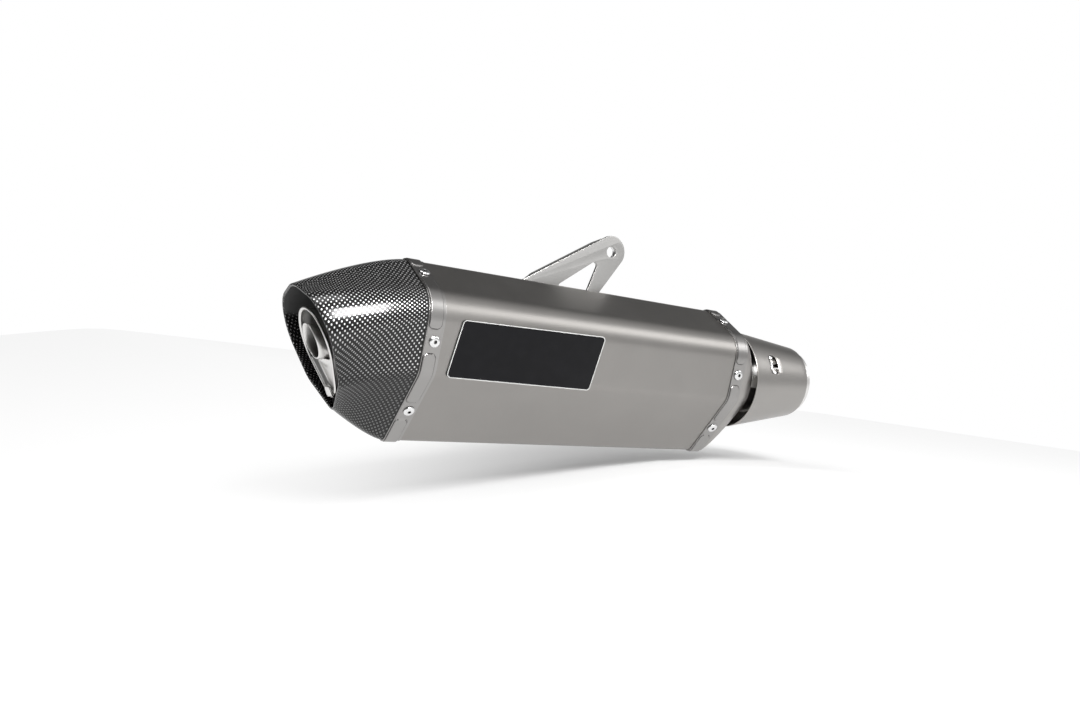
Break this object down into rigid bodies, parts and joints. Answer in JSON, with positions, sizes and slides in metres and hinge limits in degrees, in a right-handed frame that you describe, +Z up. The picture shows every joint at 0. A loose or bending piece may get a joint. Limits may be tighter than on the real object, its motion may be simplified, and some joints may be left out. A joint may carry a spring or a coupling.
{
  "type": "motorcycle slip-on silencer",
  "caption": "Racing slip-on exhaust silencer: tapered six-sided metal sleeve, carbon end cap with teardrop outlet and removable noise insert, riveted straps, heat shield and bracket.",
  "frame": {"origin": "centre of the inlet socket's mouth", "axes": "+X forward along the sleeve towards the inlet, tail at -X; -Y is the outer side with the badge; +Z up, towards the bracket"},
  "size_m": [0.4427, 0.1006, 0.1726],
  "materials": {
    "carbon": "clear-coated plain-weave carbon laminate",
    "sleeve_titanium": "brushed titanium",
    "strap_titanium": "satin titanium",
    "cap_titanium": "satin formed titanium",
    "bright_steel": "bright stainless steel",
    "inner_steel": "plain stainless steel",
    "rivet_steel": "polished stainless rivets",
    "bolt_steel": "zinc-plated steel",
    "black_screw": "black oxide steel",
    "bracket_metal": "satin bead-blasted titanium sheet",
    "wool": "basalt and glass wool",
    "badge": "heat-proof black plate with plain coloured shapes, no lettering"
  },
  "bodies": {
    "silencer": {"carbon_end_cap": "carbon", "rear_strap": "strap_titanium", "rear_rivets": "rivet_steel", "outer_sleeve": "sleeve_titanium", "front_strap": "strap_titanium", "front_rivets": "rivet_steel", "front_cap": "cap_titanium", "inlet_pipe": "bright_steel", "inlet_shield": "cap_titanium", "shield_stays": "inner_steel", "clamp_band": "inner_steel", "clamp_nut": "bolt_steel", "perforated_core": "inner_steel", "wool_packing": "wool", "front_inner_plate": "inner_steel", "rear_inner_plate": "inner_steel", "outlet_pipe": "bright_steel", "screw_boss": "inner_steel", "mount_bracket": "bracket_metal", "bracket_boss": "rivet_steel", "bracket_rivets": "rivet_steel", "badge_plate": "badge"},
    "insert": {"noise_insert": "bright_steel"},
    "insert_screw": {"insert_screw": "black_screw"},
    "clamp_bolt": {"clamp_bolt": "bolt_steel"}
  },
  "joints": [
    {"name": "insert_slide", "type": "slide", "parent": "silencer", "child": "insert", "axis": [-1, 0, 0], "range_m": [0, 0.11]},
    {"name": "insert_screw_turn", "type": "hinge", "parent": "insert", "child": "insert_screw", "pos_m": [-0.39864, 0, -0.05286], "axis": [-1, 0, 0], "continuous": true},
    {"name": "clamp_bolt_turn", "type": "hinge", "parent": "silencer", "child": "clamp_bolt", "pos_m": [-0.04568, -0.02678, 0.00972], "axis": [-0.0553, 0.4226, 0.9046], "continuous": true}
  ]
}
